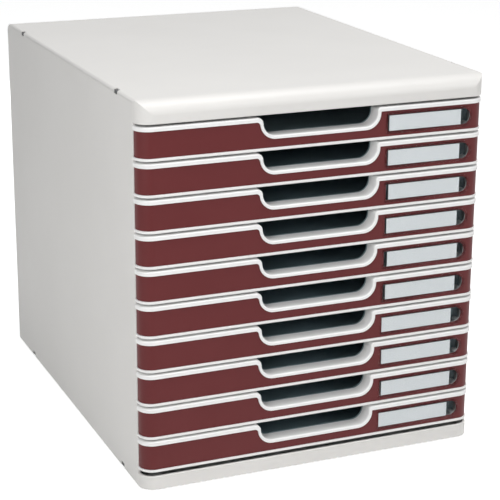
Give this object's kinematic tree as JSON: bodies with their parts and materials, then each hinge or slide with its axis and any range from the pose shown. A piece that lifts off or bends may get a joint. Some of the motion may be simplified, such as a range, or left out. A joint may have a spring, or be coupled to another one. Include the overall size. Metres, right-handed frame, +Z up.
{
  "type": "drawer organizer",
  "caption": "Desktop storage unit with a column of flat sliding drawers, each with a finger scoop and a label window, in a moulded plastic case.",
  "frame": {"origin": "on the table, under the middle of the closed unit", "axes": "+Z up, -Y out of the drawer fronts, +X to the right seen from the front"},
  "size_m": [0.3, 0.38, 0.32],
  "materials": {
    "case_grey": "fine moulded texture",
    "frame_white": "satin",
    "plate_burgundy": "satin",
    "tray_slate": "satin",
    "window_clear": "clear plastic",
    "label_paper": "uncoated card",
    "clip_black": "moulded",
    "foot_rubber": "soft"
  },
  "bodies": {
    "case": {"top_cover": "case_grey", "base_panel": "case_grey", "left_side": "case_grey", "right_side": "case_grey", "back_panel": "case_grey", "edge_clips": "clip_black", "rubber_feet": "foot_rubber"},
    "drawer_01": {"drawer_01_tray": "tray_slate", "drawer_01_frame": "frame_white", "drawer_01_plate": "plate_burgundy", "drawer_01_window": "window_clear", "drawer_01_label": "label_paper"},
    "drawer_02": {"drawer_02_tray": "tray_slate", "drawer_02_frame": "frame_white", "drawer_02_plate": "plate_burgundy", "drawer_02_window": "window_clear", "drawer_02_label": "label_paper"},
    "drawer_03": {"drawer_03_tray": "tray_slate", "drawer_03_frame": "frame_white", "drawer_03_plate": "plate_burgundy", "drawer_03_window": "window_clear", "drawer_03_label": "label_paper"},
    "drawer_04": {"drawer_04_tray": "tray_slate", "drawer_04_frame": "frame_white", "drawer_04_plate": "plate_burgundy", "drawer_04_window": "window_clear", "drawer_04_label": "label_paper"},
    "drawer_05": {"drawer_05_tray": "tray_slate", "drawer_05_frame": "frame_white", "drawer_05_plate": "plate_burgundy", "drawer_05_window": "window_clear", "drawer_05_label": "label_paper"},
    "drawer_06": {"drawer_06_tray": "tray_slate", "drawer_06_frame": "frame_white", "drawer_06_plate": "plate_burgundy", "drawer_06_window": "window_clear", "drawer_06_label": "label_paper"},
    "drawer_07": {"drawer_07_tray": "tray_slate", "drawer_07_frame": "frame_white", "drawer_07_plate": "plate_burgundy", "drawer_07_window": "window_clear", "drawer_07_label": "label_paper"},
    "drawer_08": {"drawer_08_tray": "tray_slate", "drawer_08_frame": "frame_white", "drawer_08_plate": "plate_burgundy", "drawer_08_window": "window_clear", "drawer_08_label": "label_paper"},
    "drawer_09": {"drawer_09_tray": "tray_slate", "drawer_09_frame": "frame_white", "drawer_09_plate": "plate_burgundy", "drawer_09_window": "window_clear", "drawer_09_label": "label_paper"},
    "drawer_10": {"drawer_10_tray": "tray_slate", "drawer_10_frame": "frame_white", "drawer_10_plate": "plate_burgundy", "drawer_10_window": "window_clear", "drawer_10_label": "label_paper"}
  },
  "joints": [
    {"name": "drawer_01_slide", "type": "slide", "parent": "case", "child": "drawer_01", "axis": [0, -1, 0], "range_m": [0, 0.28]},
    {"name": "drawer_02_slide", "type": "slide", "parent": "case", "child": "drawer_02", "axis": [0, -1, 0], "range_m": [0, 0.28]},
    {"name": "drawer_03_slide", "type": "slide", "parent": "case", "child": "drawer_03", "axis": [0, -1, 0], "range_m": [0, 0.28]},
    {"name": "drawer_04_slide", "type": "slide", "parent": "case", "child": "drawer_04", "axis": [0, -1, 0], "range_m": [0, 0.28]},
    {"name": "drawer_05_slide", "type": "slide", "parent": "case", "child": "drawer_05", "axis": [0, -1, 0], "range_m": [0, 0.28]},
    {"name": "drawer_06_slide", "type": "slide", "parent": "case", "child": "drawer_06", "axis": [0, -1, 0], "range_m": [0, 0.28]},
    {"name": "drawer_07_slide", "type": "slide", "parent": "case", "child": "drawer_07", "axis": [0, -1, 0], "range_m": [0, 0.28]},
    {"name": "drawer_08_slide", "type": "slide", "parent": "case", "child": "drawer_08", "axis": [0, -1, 0], "range_m": [0, 0.28]},
    {"name": "drawer_09_slide", "type": "slide", "parent": "case", "child": "drawer_09", "axis": [0, -1, 0], "range_m": [0, 0.28]},
    {"name": "drawer_10_slide", "type": "slide", "parent": "case", "child": "drawer_10", "axis": [0, -1, 0], "range_m": [0, 0.28]}
  ]
}
